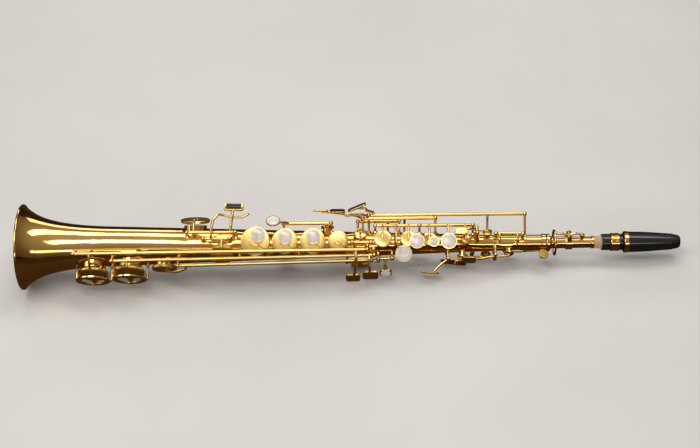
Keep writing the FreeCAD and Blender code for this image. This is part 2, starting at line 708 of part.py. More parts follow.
# low B flat: the arm arches from the rod round to the cup
rod = (above(61.0, 60.5, 14.3), above(373.6, 60.5, 14.3))
span = mount(rod)
x, theta, _ = HOLES["low_bb"]
hinge = at_x(rod, x)
arch_radius, arch_theta = math.hypot(hinge.y, hinge.z) + 0.6, 64.5
arm = [hinge]
for i in range(7):
    part = i / 6
    arm.append(polar(x, arch_radius + (body_radius(x) + 7.4 - arch_radius) * part
                     + 2.2 * math.sin(math.pi * part),
                     arch_theta + (theta - arch_theta) * part))
arm.append(local(hole_frame("low_bb"), 0, 0, 3.5))
solids = [cup("low_bb", True)] + bar(arm, 1.6, 1.25, True)
solids += bar([at_x(rod, 361.5)] + route(
    (361.5, 32.6, 74), (361.0, 34.2, 92), (360, 34.6, 108), (358.5, 34.4, 122)), 1.5, 1.3)
solids.append(plate(polar(358.0, 34.6, 127), outward(112), 15.6, 13.0, 3.0))
padded_key("low_bb", span, solids, BELL_OPEN)

# low B
rod = (above(101.0, 74.6, 13.7), above(381.0, 74.6, 13.7))
span = mount(rod)
x = HOLES["low_b"][0]
hinge = at_x(rod, x)
hinge_radius = math.hypot(hinge.y, hinge.z)
arm = [hinge] + route((x, hinge_radius + 1.6, 84), (x, hinge_radius + 1.6, 95),
                      (x, hinge_radius - 0.6, 107), (x, body_radius(x) + 7.9, 118))
arm.append(local(hole_frame("low_b"), 0, 0, 4.2))
solids = [cup("low_b", True)] + bar(arm, 1.6, 1.25)
solids += bar([at_x(rod, 375.5)] + route(
    (375.6, 30.8, 80), (375.8, 32.6, 92), (376.2, 33.0, 106), (376.8, 32.4, 120)), 1.5, 1.3)
solids.append(plate(polar(377.0, 32.6, 125), outward(112), 17.0, 15.0, 3.4))
padded_key("low_b", span, solids, BELL_OPEN)

# low C sharp
rod = (above(171.0, 87.9, 14.0), above(378.0, 87.9, 14.0))
span = mount(rod)
arm = [at_x(rod, 180.0)] + route((179, 34.6, 93.5), (171, 34.4, 101), (164, 32.0, 110),
                                 (158.5, 29.0, 118))
arm.append(local(hole_frame("low_csharp"), 0, 0, 4.3))
key("low_csharp_key", span, [cup("low_csharp")] + bar(arm, 1.6, 1.25))

# C sharp lever on a short rod of its own
rod = (above(352.0, 160, 7.0), above(386.0, 160, 7.0))
span = mount(rod)
solids = bar([at_x(rod, 366)] + route((366, 27.0, 172), (366, 31.0, 184)), 1.4)
solids.append(plate(polar(366, 31.4, 188), outward(196), 20, 10, 3))
key("csharp_lever", span, solids)

# ------------------------------------------------------------------ G sharp
rod = (polar(357.6, 19.0, 42), polar(377.8, 19.0, 42))
span = mount(rod)
x, _, cup_radius = HOLES["gsharp"]
arm = [at_x(rod, x)] + route_in(hole_frame("gsharp"), (0, cup_radius + 0.6, 3.6),
                                (0, cup_radius * 0.5, 3.7), (0, 0, 3.3))
key("gsharp_key", span, [cup("gsharp")] + bar(arm, 1.3, 1.0))

# its touch, on a short rod beyond the ends of the long ones
rod = (above(385.5, 100, 7.6), above(400.5, 100, 7.6))
span = mount(rod)
solids = bar([at_x(rod, 393)] + route((393, 25.2, 108), (393.4, 29.6, 116),
                                      (393.6, 31.4, 124)), 1.5, 1.3)
solids.append(plate(polar(393.6, 31.8, 127), outward(112), 13.0, 14.5, 3.0))
key("gsharp_lever", span, solids)

# ------------------------------------------------------------------ F sharp trill
rod = (polar(284.0, 25.0, -18), polar(335.0, 25.0, -18))
span = mount(rod)
x, _, cup_radius = HOLES["trill"]
arm = [at_x(rod, x - 4)] + route_in(hole_frame("trill"), (-3, cup_radius + 1.4, 5.6),
                                    (-1, cup_radius * 0.5, 4.0), (0, 0, 3.3))
solids = [cup("trill")] + bar(arm, 1.3, 1.0)
solids += bar([at_x(rod, 289.5)] + route((284, 28.6, -10), (276, 31.0, -5), (273, 31.2, -4)),
              1.4, 1.2)
solids.append(pearl_seat(frame_to(polar(273, 31.4, -4), outward(2)), 7.0))
key("trill_key", span, solids)

# ------------------------------------------------------------------ low C and E flat
rod = (polar(180.5, 27.0, 17), polar(232.5, 27.0, 17))
span = mount(rod)
arm = [at_x(rod, HOLES["low_c"][0])] + route_in(
    hole_frame("low_c"), (0, 18.4, 1.0), (0, 13.5, 4.6), (0, 6, 5.4), (0, 0, 4.3))
solids = [cup("low_c", True)] + bar(arm, 1.7, 1.3)
solids += bar([at_x(rod, 227.5)] + route(
    (228, 30.5, 4), (229, 36.5, -10), (230, 39.6, -18), (230.5, 40.6, -24)), 1.6, 1.35)
solids.append(plate(polar(230.6, 41.0, -27), outward(-12), 21.0, 12.5, 2.6, 1.8,
                    Vector(1, 0, 0.22)))
padded_key("low_c", span, solids, 8.0)

rod = (polar(198.0, 25.3, 31.5), polar(226.5, 25.3, 31.5))
span = mount(rod)
arm = [at_x(rod, HOLES["eb"][0])] + route_in(
    hole_frame("eb"), (0, -13.2, 2.6), (0, -9.5, 5.0), (0, -4, 5.3), (0, 0, 4.3))
solids = [cup("eb")] + bar(arm, 1.6, 1.2)
solids += bar([at_x(rod, 207.0)] + route(
    (207, 30.6, 27), (207.5, 34.0, 14), (209, 36.6, 0), (214, 38.6, -12), (220, 36.2, -15),
    (228, 33.9, -15), (240, 33.7, -15), (246, 36.4, -18)), 1.45, 1.3)
key("eb_key", span, solids)

# ------------------------------------------------------------------ side keys
# hole: (rod from x, to x, rod distance from the axis, rod theta,
#        touch x, distance, theta, drop of the bar under the touch)
SIDE = {
    "side_bb": (364.0, 409.0, 26.0, -60, 324.0, 36.4, -40, 1.2),
    "side_c": (369.5, 448.0, 28.0, -34, 342.0, 38.6, -20, 5.2),
    "high_e": (376.0, 545.2, 31.5, -41, 362.0, 41.6, -25, 1.2)}
ARM_STEPS = 5
for hole, (from_x, to_x, rod_radius, rod_theta,
           touch_x, touch_radius, touch_theta, drop) in SIDE.items():
    x, theta, _ = HOLES[hole]
    rod = (polar(from_x, rod_radius, rod_theta), polar(to_x, rod_radius, rod_theta))
    span = mount(rod)
    poles_along = hole == "side_bb"
    arm = [at_x(rod, x)]
    for i in range(1, ARM_STEPS + 1):
        part = i / ARM_STEPS
        radius = (rod_radius + (body_radius(x) + 7.0 - rod_radius) * min(1.0, part * 1.15)
                  + 1.5 * math.sin(math.pi * part))
        arm.append(polar(x, radius, rod_theta + (theta - rod_theta) * part))
    arm.append(local(hole_frame(hole), 0, 0, 3.3))
    turn = touch_theta - rod_theta
    solids = [cup(hole)] + bar(arm, 1.3, 1.05, poles_along)
    solids += bar([at_x(rod, from_x + 5.4)] + route(
        (from_x + 4.4, rod_radius + 3.2, rod_theta + turn * 0.25),
        (from_x - 2.0, rod_radius + 5.4, rod_theta + turn * 0.6),
        (touch_x + 10, touch_radius - drop, touch_theta),
        (touch_x + 2, touch_radius - 0.9, touch_theta)), 1.5, 1.3, poles_along)
    face = outward(touch_theta)
    if hole == "high_e":
        solids.append(plate(polar(touch_x + 1, touch_radius, touch_theta),
                            face + Vector(-0.42, 0, 0), 21.0, 9.5, 3.4))
    else:
        solids.append(plate(polar(touch_x, touch_radius, touch_theta), face, 16.5, 9.5, 3.4))
    key(hole + "_key", span, solids)

# ------------------------------------------------------------------ palm keys and front F
# Levers along the body, each on a short rod across it.
# hole: (lever theta, hinge x, hinge rise, bar stations,
#        plate station, theta the plate faces, length, width, lean towards the bell)
PALM = {
    "palm_d": (126, 461.0, 7.2, [(455, 21.6, 127), (450, 25.8, 128), (445.5, 30.6, 128)],
               (441.5, 32.0, 128), 134, 19.0, 10.0, 0.10),
    "palm_eb": (164, 488.0, 7.2, [(484, 18.2, 164), (478, 20.0, 164), (470, 21.4, 164)],
                (468.0, 23.2, 164), 160, 28.0, 9.5, 0.12),
    "palm_f": (112, 512.0, 7.6, [(505, 17.2, 110), (496, 20.2, 106), (488, 21.8, 101)],
               (483.0, 22.6, 100), 92, 15.5, 9.0, 0.06),
    "front_f": (-6, 492.5, 8.4, [(489, 19.4, -2), (484, 23.2, 6), (478, 24.0, 13)],
                (475.0, 24.6, 16), 20, 13.0, 7.5, 0.05)}


def saddle_post(head, normal, rod_dir, rise):
    """A post parallel to the lever's normal, not radial like the others."""
    base = head - normal * (rise + 3.0)
    solid = Part.makeCylinder(dim("stemradius"), rise + 3.0, base, normal).fuse([
        Part.makeSphere(dim("ballradius") - 0.2, head)])
    foot = Part.makeCylinder(2.2, rise - 3.0, base, normal)
    POSTS.append(solid.fuse(foot).cut(SURFACE).cut(rod_hole(head, rod_dir)))


for hole, (theta, hinge_x, rise, stations,
           plate_station, plate_theta, length, width, lean) in PALM.items():
    x, hole_theta, _ = HOLES[hole]
    palm = hole != "front_f"
    hinge = above(hinge_x, theta, rise)
    rod_dir = around(theta)
    rod_ends = (hinge - rod_dir * 5.6, hinge + rod_dir * 5.6)
    for head in rod_ends:
        saddle_post(head, outward(theta), rod_dir, rise)
    steel(*rod_ends, 1.5)
    arm = [hinge, above(hinge_x + (x - hinge_x) * 0.55, theta, 7.6 if palm else 8.0),
           above(x, hole_theta, 7.2), local(hole_frame(hole), 0, 0, 3.3)]
    solids = [cup(hole)] + bar(arm, 1.35, 1.05, palm)
    solids += bar([hinge] + route(*stations), 1.5, 1.25, palm)
    solids.append(plate(polar(*plate_station), outward(plate_theta) + Vector(-lean, 0, 0),
                        length, width, 3.2))
    key(hole + "_key", (hinge - rod_dir * 3.2, hinge + rod_dir * 3.2), solids)

# ------------------------------------------------------------------ octave mechanism
PIP_XS = (516.5, 535.8)
PIP_THETA = 45
pip_out = outward(PIP_THETA)
pips = []
for x in PIP_XS:
    base = above(x, PIP_THETA, -2)
    pip = Part.makeCylinder(2.1, 6.0, base, pip_out).fuse([
        Part.makeCylinder(1.5, 7.2, base, pip_out)])
    pips.append(pip.cut(SURFACE).cut(
        Part.makeCylinder(0.7, 12, above(x, PIP_THETA, -3), pip_out)))
feature("octave_pips", Part.makeCompound(pips))

rod = (above(512.6, 8, 7.4), above(541.8, 8, 7.4))
span = mount(rod)
solids = []
for x in PIP_XS:
    top = above(x, PIP_THETA, 5.3)
    solids.append(Part.makeCylinder(2.3, 1.9, top, pip_out))
    solids += bar([at_x(rod, x), above(x, 24, 9.2), above(x, 38, 8.2), top + pip_out * 1.8],
                  1.1, 0.9)
key("body_octave_key", span, solids)

# the lever on the underside, its long nose reaching to the neck
rod = (polar(424.0, 17.6, 206), polar(528.5, 17.6, 206))
span = mount(rod)
solids = bar([at_x(rod, 431)] + route((431, 20.5, 216), (431, 20.4, 228)), 1.4, 1.3)
solids.append(plate(polar(431, 20.8, 232), outward(226), 15.0, 10.5, 3.6, 1.8))
solids += bar([at_x(rod, 523.0)] + route(
    (524.0, 21.8, 204), (532.0, 21.6, 202), (542.0, 18.0, 196), (554.0, 14.4, 190),
    (566.0, 13.2, 188)), 1.3, 1.0)
key("octave_lever", span, solids)

# neck octave key: a saddle on the neck, a ring round the joint, a pad over the pip
PIVOT = Vector(592.5, 0, 10.6)
CHEEK_Y, CHEEK_THICK = 4.6, 1.5
cheeks = []
for side in (-CHEEK_Y, CHEEK_Y):
    y = side - CHEEK_THICK / 2
    cheek = Part.makeBox(5.0, CHEEK_THICK, 8.6, Vector(PIVOT.x - 2.5, y, 3.4))
    cheeks.append(cheek.fuse(
        Part.makeCylinder(2.2, CHEEK_THICK, Vector(PIVOT.x, y, PIVOT.z), ACROSS)))
neck_outer = Part.makeCone(TAPER_START_RADIUS + 0.06, TAPER_END_RADIUS + 0.06,
                           TAPER_END - TAPER_START, Vector(TAPER_START, 0, 0), PIPE)
saddle = Part.makeCylinder(7.6, 7.0, Vector(589.0, 0, 0), PIPE).fuse(cheeks).cut(neck_outer)
feature("neck_saddle", saddle.cut(rod_hole(PIVOT, ACROSS)))
feature("neck_pivot", Part.makeCylinder(dim("rodradius"), 11.0, PIVOT - ACROSS * 5.5, ACROSS))

LOOP_X, LOOP_RADIUS = 577.0, 13.2
vent_top = polar(VENT_X, 9.05, 0)
solids = [Part.makeTorus(LOOP_RADIUS, 1.1, Vector(LOOP_X, 0, 0), PIPE),
          Part.makeCylinder(2.7, 2.2, vent_top, outward(0))]
solids += bar([PIVOT, Vector(584, 0, 12.6), Vector(LOOP_X, 0, LOOP_RADIUS)], 1.5, 1.3)
solids += bar([PIVOT, Vector(599, 0, 12.8), Vector(VENT_X, 0, 11.6),
               vent_top + outward(0) * 2.0], 1.5, 1.1)
key("neck_octave_key", (PIVOT - ACROSS * 3.7, PIVOT + ACROSS * 3.7), solids)

# ------------------------------------------------------------------ thumb side
THUMB_THETA = 216
HOOK_X = 286
thumb_out = outward(THUMB_THETA)


def placed_box(size, corner, frame):
    box = Part.makeBox(*size, Vector(*corner))
    box.Placement = frame
    return box


# the plate under the thumb hook, slotted for its tongue
base_centre = above(HOOK_X, THUMB_THETA, 0.9)
base_frame = frame_to(base_centre, thumb_out)
hook_base = plate(base_centre, thumb_out, 26.0, 11.0, 3.0, 1.8)
hook_base = hook_base.fuse(placed_box((22.0, 9.0, 3.0), (-11, -4.5, -3.4), base_frame))
slot = placed_box((12.0, 3.1, 12.0), (-6, -1.55, -0.1), base_frame)
feature("thumb_hook_base", hook_base.cut(SURFACE).cut(slot))

# the hook: a slide with a tongue, and a curl trimmed flat underneath
hook_frame = frame_to(above(HOOK_X, THUMB_THETA, 1.85), thumb_out)
slide = placed_box((12.0, 9.0, 1.6), (-6, -4.5, 0), hook_frame)
tongue = placed_box((6.0, 2.9, 0.95), (-3, -1.45, -0.85), hook_frame)
CURL = ((-4, 0, 1.5), (-6, 0, 6), (-5, 0, 12), (0, 0, 16.5), (7, 0, 18.5))
curl = bar([hook_frame.multVec(Vector(*point)) for point in CURL], 3.2, 2.6)
under = placed_box((60.0, 60.0, 20.0), (-30, -30, -20.0 + 0.2), hook_frame)
hook = slide.fuse([curl[0].fuse(curl[1:]).cut(under), tongue])
screw_head = Part.makeCylinder(2.0, 1.0, hook_frame.multVec(Vector(3.6, 0, 1.5)), thumb_out)
feature("thumb_hook", hook.fuse(screw_head))

# strap ring
strap_frame = frame_to(above(338.0, THUMB_THETA, 0), thumb_out)
strap_across = strap_frame.Rotation.multVec(ACROSS)
EYE_HEIGHT = 7.2
eye = Part.makeCylinder(6.4, 2.4, strap_frame.multVec(Vector(0, -1.2, EYE_HEIGHT)),
                        strap_across)
eye_hole = Part.makeCylinder(4.0, 6.0, strap_frame.multVec(Vector(0, -3, EYE_HEIGHT)),
                             strap_across)
foot = placed_box((17.0, 6.4, 3.6), (-8.5, -3.2, -2.2), strap_frame)
feature("strap_ring", eye.fuse(foot).cut(eye_hole).cut(SURFACE))

# thumb rest
REST_THETA = 232
rest = lathe([(0, -2.5), (6.4, -2.5), (6.4, 3.0), (5.6, 3.8), (3.0, 4.2), (0, 4.3)],
             frame_to(above(446.5, REST_THETA, 0), outward(REST_THETA)))
feature("thumb_rest", rest.cut(SURFACE))

# ------------------------------------------------------------------ key guards
GUARD_HEIGHT = 12.4             # underside of the ring above the tone hole rim
LEG_TOP_REACH, LEG_REACH = 17.2, 19.9
LEG_DIRECTIONS = ((-17.8, 6.0), (17.8, 6.0), (0.0, 19.4))       # along, across


def key_guard(hole):
    """A ring over a bell key cup, on three legs, with a bar across."""
    x, theta, cup_radius = HOLES[hole]
    frame = hole_frame(hole)
    guard_ring = lathe([(12.6, GUARD_HEIGHT), (18.2, GUARD_HEIGHT),
                        (18.2, GUARD_HEIGHT + 1.3), (12.6, GUARD_HEIGHT + 1.3)], frame)
    legs = []
    for along, across in LEG_DIRECTIONS:
        length = math.hypot(along, across)
        top, knee, low = [
            local(frame, along * reach / length, across * reach / length, height)
            for reach, height in ((LEG_TOP_REACH, GUARD_HEIGHT + 0.7),
                                  (LEG_REACH, GUARD_HEIGHT - 2.0), (LEG_REACH, 0))]
        normal = Vector(0, low.y, low.z).normalize()
        foot_point = Vector(low.x, 0, 0) + normal * (body_radius(low.x) - 1.0)
        legs += bar([top, knee, low, foot_point], 1.25)
        legs.append(Part.makeCylinder(2.8, 3.0, foot_point - normal * 1.0, normal))
    cross = placed_box((3.0, 26.0, 1.2), (-1.5, -13.0, GUARD_HEIGHT), frame)
    # keeps the feet clear of the chimney
    clear = Part.makeCylinder(rim_radius(cup_radius) + 0.2,
                              body_radius(x) + dim("chimney") + 0.3,
                              polar(x, 0, theta), outward(theta))
    return guard_ring.fuse(legs + [cross]).cut(SURFACE).cut(clear)


feature("key_guards", key_guard("low_bb").fuse(key_guard("low_b")))

feature("posts", Part.makeCompound(POSTS))
feature("hinge_rods", Part.makeCompound(RODS))

# ------------------------------------------------------------------ check and write
doc.recompute()
for obj in doc.Objects:
    if any(flag in ("Invalid", "Error") for flag in obj.State):
        raise SystemExit("failed object: %s %s" % (obj.Name, obj.State))
for name, obj in PARTS.items():
    if obj.Shape.isNull() or not obj.Shape.isValid():
        raise SystemExit("bad shape: " + name)
for name, obj in PARTS.items():
    obj.Shape.exportStep("parts/%s.step" % name)
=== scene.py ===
"""A saxophone lying along +X: the bell rim is near x = 0, the neck at the far end.

Places on the body are given as x, radius and angle about the X axis; the angle
starts at +Z and grows towards -Y, the camera side. Pieces are laid out in
millimetres and built in metres. Floor, lights and camera are in metres.
"""
import bpy
import bmesh
import json
import math
from mathutils import Vector, Matrix


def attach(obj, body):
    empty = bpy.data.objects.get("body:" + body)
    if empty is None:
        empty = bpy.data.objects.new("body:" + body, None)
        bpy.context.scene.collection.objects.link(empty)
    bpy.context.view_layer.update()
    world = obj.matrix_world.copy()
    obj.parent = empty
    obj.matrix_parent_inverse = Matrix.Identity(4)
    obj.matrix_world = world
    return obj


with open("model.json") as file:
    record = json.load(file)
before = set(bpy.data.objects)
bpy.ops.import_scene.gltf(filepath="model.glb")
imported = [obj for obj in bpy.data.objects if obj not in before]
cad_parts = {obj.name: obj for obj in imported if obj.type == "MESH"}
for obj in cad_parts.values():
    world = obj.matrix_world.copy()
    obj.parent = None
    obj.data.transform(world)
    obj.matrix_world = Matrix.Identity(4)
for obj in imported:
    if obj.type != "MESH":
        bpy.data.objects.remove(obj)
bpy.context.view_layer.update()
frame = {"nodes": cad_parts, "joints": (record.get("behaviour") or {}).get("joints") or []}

NODES = frame["nodes"]
JOINTS = {joint["child"]: joint for joint in frame["joints"]}
MM = 0.001

# Keys given new pieces here that stand open at rest
OPEN_KEYS = {"fsharp_key", "g_key", "a_key", "bis_key", "b_key", "c_key", "low_c_key"}


# ------------------------------------------------------------------ places
def tube_radius(x):
    """Radius of the conical body, which narrows towards the neck."""
    return 21.85 - 0.03146 * (x - 92.0)


def outward(angle):
    turn = math.radians(angle)
    return Vector((0, -math.sin(turn), math.cos(turn)))


def on_body(x, radius, angle):
    return Vector((x, 0, 0)) + outward(angle) * radius


def axes_from(normal):
    """Axes with z on the normal and y square to the tube."""
    z = normal.normalized()
    y = z.cross(Vector((1, 0, 0))).normalized()
    return y.cross(z), y, z


def matrix_from(origin, axes):
    matrix = Matrix(axes).transposed().to_4x4()
    matrix.translation = origin
    return matrix


def frame_at(origin, normal):
    return matrix_from(origin, axes_from(normal))


def at_rest(body, place):
    """Places are given with the key shut; an open key is turned back by its whole travel."""
    if body not in OPEN_KEYS:
        return place
    joint = JOINTS[body]
    pivot = Vector(joint["pos_m"]) * 1000
    turn = Matrix.Rotation(-math.radians(joint["range_deg"][1]), 4, Vector(joint["axis"]))
    return Matrix.Translation(pivot) @ turn @ Matrix.Translation(-pivot) @ place


# ------------------------------------------------------------------ shader helpers
class Graph:
    """The node tree of a material or the world. Inputs take a number, a tuple or a socket."""

    def __init__(self, owner, output_kind):
        owner.use_nodes = True
        self.tree = owner.node_tree
        self.tree.nodes.clear()
        self.output = self.node(output_kind)

    def feed(self, socket, value):
        if isinstance(value, bpy.types.NodeSocket):
            self.tree.links.new(value, socket)
        else:
            socket.default_value = value

    def node(self, kind, inputs=None, **settings):
        node = self.tree.nodes.new("ShaderNode" + kind)
        for name, value in settings.items():
            setattr(node, name, value)
        for key, value in (inputs or {}).items():
            self.feed(node.inputs[key], value)
        return node

    def math(self, operation, *values):
        return self.node("Math", dict(enumerate(values)), operation=operation).outputs[0]

    def add(self, first, second):
        return self.math("ADD", first, second)

    def scaled(self, field, gain):
        return self.math("MULTIPLY", field, gain)

    def vary(self, field, gain, base):
        """base + gain * field"""
        return self.math("MULTIPLY_ADD", field, gain, base)

    def ramp(self, field, stops):
        """Colour ramp through (position, colour) stops."""
        node = self.node("ValToRGB", {0: field})
        elements = node.color_ramp.elements
        for element, (position, colour) in ((elements[0], stops[0]), (elements[1], stops[-1])):
            element.position = position
            element.color = (*colour, 1)
        for position, colour in stops[1:-1]:
            elements.new(position).color = (*colour, 1)
        return node.outputs[0]


class Surface(Graph):
    """A material with one Principled shader and textures in object space."""

    def __init__(self, name):
        self.material = bpy.data.materials.new(name)
        super().__init__(self.material, "OutputMaterial")
        self.bsdf = self.node("BsdfPrincipled")
        self.feed(self.output.inputs[0], self.bsdf.outputs[0])
        self.coords = self.node("TexCoord").outputs["Object"]

    def shade(self, inputs):
        for name, value in inputs.items():
            self.feed(self.bsdf.inputs[name], value)

    def noise(self, scale, detail=3.0, roughness=0.55, stretch=None):
        coords = self.coords
        if stretch:
            coords = self.node("Mapping", {"Scale": stretch, "Vector": coords}).outputs[0]
        return self.node("TexNoise", {"Scale": scale, "Detail": detail, "Roughness": roughness,
                                      "Vector": coords}).outputs["Fac"]

    def cells(self, scale):
        return self.node("TexVoronoi", {"Scale": scale, "Vector": self.coords}).outputs["Distance"]

    def bump(self, height, strength, distance=0.0002):
        node = self.node("Bump", {"Strength": strength, "Distance": distance, "Height": height})
        self.shade({"Normal": node.outputs[0]})


# ------------------------------------------------------------------ materials
def brass(name, light, dark, roughness, spread, edge_and_shade_strength, stretch=None):
    """Lacquered brass: slow colour drift, lighter sharp edges, painted shade darkening the corners
    and hollows, faint lacquer ripple.
    """
    s = Surface(name)
    drift = s.ramp(s.noise(scale=22.0, detail=4.0), [(0.32, dark), (0.68, light)])
    # Painted shade: darker in hollows and creases where shade falls; lighter on sharp edges
    light_edges_hollow_shade = s.ramp(s.node("NewGeometry").outputs["Pointiness"],
                  [(0.44, (0.30, 0.15, 0.05)), (0.50, (0.5, 0.5, 0.5)), (0.57, (0.80, 0.74, 0.60))])
    # The colour version of the mix node: 0 is its factor, 6 and 7 its colours, output 2 its result
    colour = s.node("Mix", {0: edge_and_shade_strength, 6: drift, 7: light_edges_hollow_shade},
                    data_type="RGBA", blend_type="OVERLAY").outputs[2]
    fine = s.noise(scale=260.0, roughness=0.6, stretch=stretch)
    cloud = s.noise(scale=40.0, detail=2.0)
    clouded = s.vary(cloud, gain=spread, base=roughness - spread * 0.5)
    s.shade({
        "Base Color": colour,
        "Metallic": 1.0,
        "Roughness": s.vary(fine, gain=spread * 0.6, base=clouded),
        "Coat Weight": 0.35,
        "Coat Roughness": 0.06,
        "Coat IOR": 1.5,
        "Coat Tint": (1.0, 0.92, 0.70, 1),
    })
    ripple = s.add(s.scaled(fine, gain=0.25), s.noise(scale=60.0, detail=2.0))
    s.bump(ripple, strength=0.06, distance=0.00012)
    return s.material


def steel():
    s = Surface("drawn_steel")
    grain = s.noise(scale=400.0, roughness=0.6, stretch=(0.05, 1, 1))
    s.shade({
        "Base Color": s.ramp(grain, [(0.3, (0.42, 0.40, 0.37)), (0.7, (0.66, 0.64, 0.60))]),
        "Metallic": 1.0,
        "Roughness": s.vary(grain, gain=0.2, base=0.16),
    })
    s.bump(grain, strength=0.08)
    return s.material


def leather():
    s = Surface("pad_leather")
    pores = s.cells(scale=1400.0)
    mottle = s.noise(scale=90.0, detail=5.0)
    s.shade({
        "Base Color": s.ramp(mottle, [(0.3, (0.17, 0.085, 0.04)), (0.7, (0.33, 0.18, 0.09))]),
        "Roughness": s.vary(mottle, gain=0.25, base=0.45),
    })
    s.bump(s.add(pores, mottle), strength=0.35, distance=0.0001)
    return s.material


def pearl():
    """Mother of pearl: wavy bands whose tint also shifts with the angle of view."""
    s = Surface("mother_of_pearl")
    bands = s.node("TexWave", {"Scale": 26.0, "Distortion": 9.0, "Detail": 3.0,
                               "Vector": s.coords}).outputs["Fac"]
    cloud = s.noise(scale=120.0, detail=4.0)
    facing = s.node("LayerWeight", {"Blend": 0.55}).outputs["Facing"]
    tint = s.add(s.scaled(bands, gain=0.45), s.scaled(cloud, gain=0.4))
    tint = s.add(tint, s.scaled(facing, gain=0.3))
    s.shade({
        "Base Color": s.ramp(tint, [
            (0.20, (0.74, 0.60, 0.53)), (0.42, (0.84, 0.76, 0.70)), (0.58, (0.88, 0.71, 0.68)),
            (0.72, (0.72, 0.79, 0.75)), (0.92, (0.92, 0.87, 0.81))]),
        "Roughness": s.vary(cloud, gain=0.12, base=0.10),
        "Subsurface Weight": 0.12,
        "Subsurface Radius": (0.002, 0.0015, 0.001),
        "Coat Weight": 0.5,
        "Coat Roughness": 0.05,
    })
    s.bump(bands, strength=0.05, distance=0.00008)
    return s.material


def cork():
    s = Surface("neck_cork")
    grains = s.cells(scale=620.0)
    speckle = s.noise(scale=260.0, detail=6.0, roughness=0.7)
    relief = s.add(s.scaled(grains, gain=0.6), s.scaled(speckle, gain=0.7))
    s.shade({
        "Base Color": s.ramp(relief, [(0.25, (0.16, 0.07, 0.035)), (0.42, (0.46, 0.25, 0.15)),
                                      (0.75, (0.66, 0.42, 0.29))]),
        "Roughness": s.vary(speckle, gain=0.2, base=0.6),
    })
    s.bump(relief, strength=0.5)
    return s.material


def resin():
    s = Surface("black_resin")
    cloud = s.noise(scale=50.0)
    fine = s.noise(scale=900.0, roughness=0.5)
    s.shade({
        "Base Color": s.ramp(cloud, [(0.3, (0.006, 0.006, 0.007)), (0.7, (0.013, 0.012, 0.012))]),
        "Roughness": s.vary(fine, gain=0.05, base=s.vary(cloud, gain=0.06, base=0.16)),
        "Coat Weight": 0.3,
        "Coat Roughness": 0.08,
    })
    return s.material


def cane():
    s = Surface("cane")
    grain = s.noise(scale=300.0, detail=5.0, roughness=0.6, stretch=(0.04, 1, 1))
    s.shade({
        "Base Color": s.ramp(grain, [(0.3, (0.52, 0.36, 0.14)), (0.7, (0.78, 0.62, 0.33))]),
        "Roughness": s.vary(grain, gain=0.2, base=0.45),
    })
    s.bump(grain, strength=0.3, distance=0.0001)
    return s.material


def felt():
    s = Surface("green_felt")
    fibres = s.noise(scale=900.0, detail=6.0, roughness=0.8)
    s.shade({
        "Base Color": s.ramp(fibres, [(0.3, (0.012, 0.06, 0.03)), (0.7, (0.04, 0.16, 0.08))]),
        "Roughness": s.vary(fibres, gain=0.1, base=0.85),
        "Sheen Weight": 0.4,
    })
    s.bump(fibres, strength=0.6)
    return s.material


def pale_floor():
    s = Surface("pale_floor")
    cloud = s.noise(scale=3.0)
    fine = s.noise(scale=180.0, detail=4.0)
    s.shade({
        "Base Color": s.ramp(cloud, [(0.3, (0.70, 0.69, 0.67)), (0.7, (0.76, 0.75, 0.73))]),
        "Roughness": 0.75,
    })
    s.bump(fine, strength=0.05)
    return s.material


def matt_card(name, colour):
    s = Surface(name)
    lighter = tuple(channel * 1.3 for channel in colour)
    s.shade({
        "Base Color": s.ramp(s.noise(scale=4.0), [(0.3, colour), (0.7, lighter)]),
        "Roughness": 0.9,
        "Specular IOR Level": 0.0,
    })
    return s.material


# edge_and_shade_strength sets how strongly the painted hollow shade and the lighter edges show
BODY = brass("lacquered_body", light=(0.93, 0.65, 0.25), dark=(0.80, 0.49, 0.14),
             roughness=0.09, spread=0.04, edge_and_shade_strength=0.25)
KEYS = brass("lacquered_keys", light=(0.94, 0.66, 0.27), dark=(0.82, 0.51, 0.16),
             roughness=0.14, spread=0.07, edge_and_shade_strength=0.35, stretch=(1.0, 6.0, 6.0))
SATIN = brass("satin_cups", light=(0.90, 0.68, 0.29), dark=(0.79, 0.56, 0.20),
              roughness=0.27, spread=0.08, edge_and_shade_strength=0.40)
STEEL = steel()
LEATHER = leather()
PEARL = pearl()
CORK = cork()
RESIN = resin()
CANE = cane()
FELT = felt()


# ------------------------------------------------------------------ CAD pieces
CREASE = 38  # degrees above which an edge of a CAD piece shades sharp
CAD_MATERIALS = (
    (STEEL, ("hinge_rods", "neck_pivot", "ligature_screws")),
    (CORK, ("neck_cork",)),
    (RESIN, ("mouthpiece", "mouthpiece_cap", "thumb_rest")),
    (CANE, ("reed",)),
    (SATIN, ("d_key", "e_key", "f_key", "fsharp_key", "g_key", "a_key", "low_c_key",
             "low_bb_key", "low_b_key", "low_csharp_key", "eb_key")),
    (BODY, ("body_tube", "neck_receiver", "neck_tube", "mouthpiece_ring", "cap_ring",
            "ligature")),
)
MATERIAL_OF = {name: material for material, names in CAD_MATERIALS for name in names}


def cad_material(name):
    if name.endswith("_pad"):
        return LEATHER
    if name.endswith("_pearl"):
        return PEARL
    return MATERIAL_OF.get(name, KEYS)


for name, obj in NODES.items():
    obj.data.materials.clear()
    obj.data.materials.append(cad_material(name))
    for face in obj.data.polygons:
        face.material_index = 0
        face.use_smooth = True
    obj.data.set_sharp_from_angle(angle=math.radians(CREASE))


# ------------------------------------------------------------------ mesh helpers
def add_object(name, bm, material):
    mesh = bpy.data.meshes.new(name)
    bm.to_mesh(mesh)
    bm.free()
    obj = bpy.data.objects.new(name, mesh)
    bpy.context.scene.collection.objects.link(obj)
    mesh.materials.append(material)
    return obj


